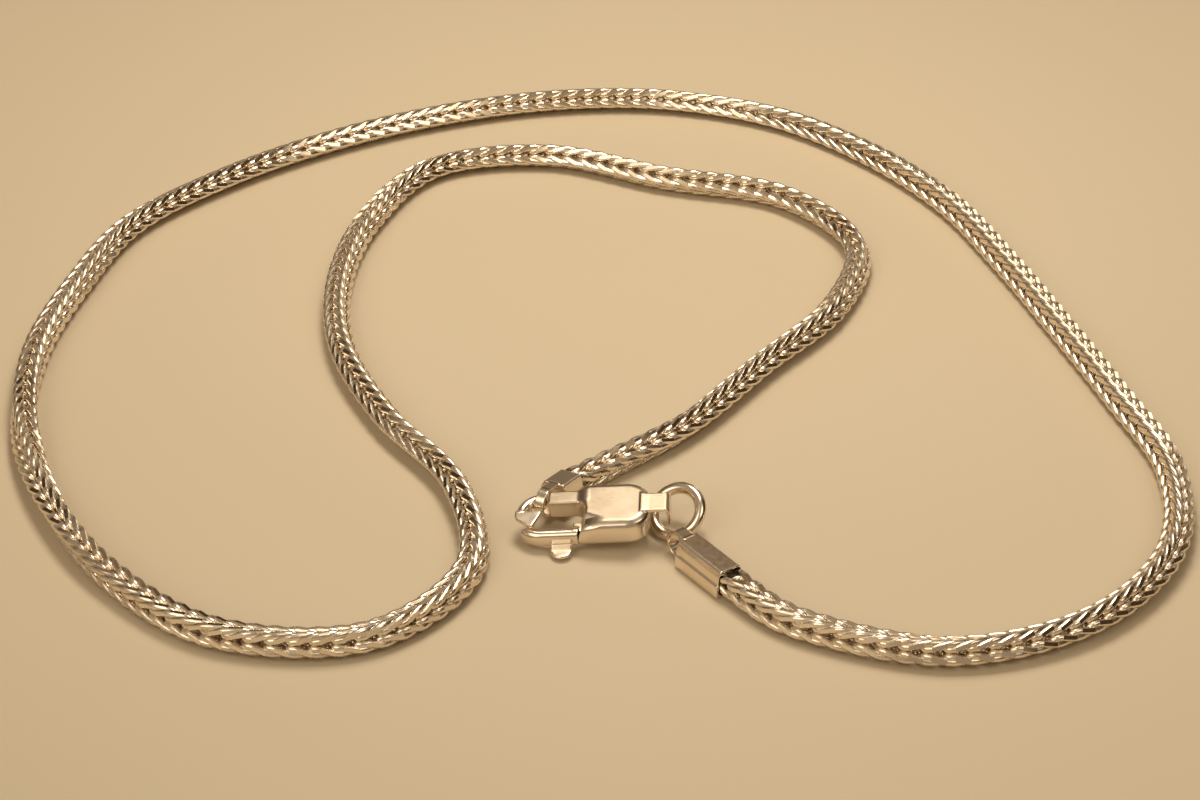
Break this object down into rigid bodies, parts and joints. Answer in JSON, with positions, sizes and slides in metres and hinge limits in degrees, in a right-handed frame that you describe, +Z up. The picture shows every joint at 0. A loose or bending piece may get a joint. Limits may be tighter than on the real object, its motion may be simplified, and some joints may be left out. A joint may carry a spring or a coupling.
{
  "type": "foxtail chain",
  "caption": "Silver foxtail necklace chain of square interlocking links, closed by folded end caps, a jump ring and a spring lever hook clasp.",
  "frame": {"origin": "centre of the lying necklace's box, on the surface that it lies on", "axes": "+X across the loop to the right, +Y away from the clasp's side, +Z up from the surface"},
  "size_m": [0.0917, 0.0868, 0.0037],
  "materials": {
    "chain": "diamond-cut facets, polished with darkened gaps",
    "end_caps": "polished with fine brush lines",
    "jump_ring": "polished",
    "clasp": "brushed top with polished bevels",
    "lever": "polished, rounded",
    "pin": "plain turned"
  },
  "bodies": {
    "necklace": {"foxtail_chain": "chain", "hook_end_cap": "end_caps", "ring_end_cap": "end_caps", "jump_ring": "jump_ring", "clasp_body": "clasp", "lever_pin": "pin"},
    "lever": {"clasp_lever": "lever"}
  },
  "joints": [
    {"name": "lever_hinge", "type": "hinge", "parent": "necklace", "child": "lever", "pos_m": [0.00087, -0.02806, 0.00168], "axis": [-0.0954, -0.1686, 0.9811], "range_deg": [-10, 0], "stiffness_Nm_per_rad": 0.00005, "springref_deg": 5.73}
  ]
}
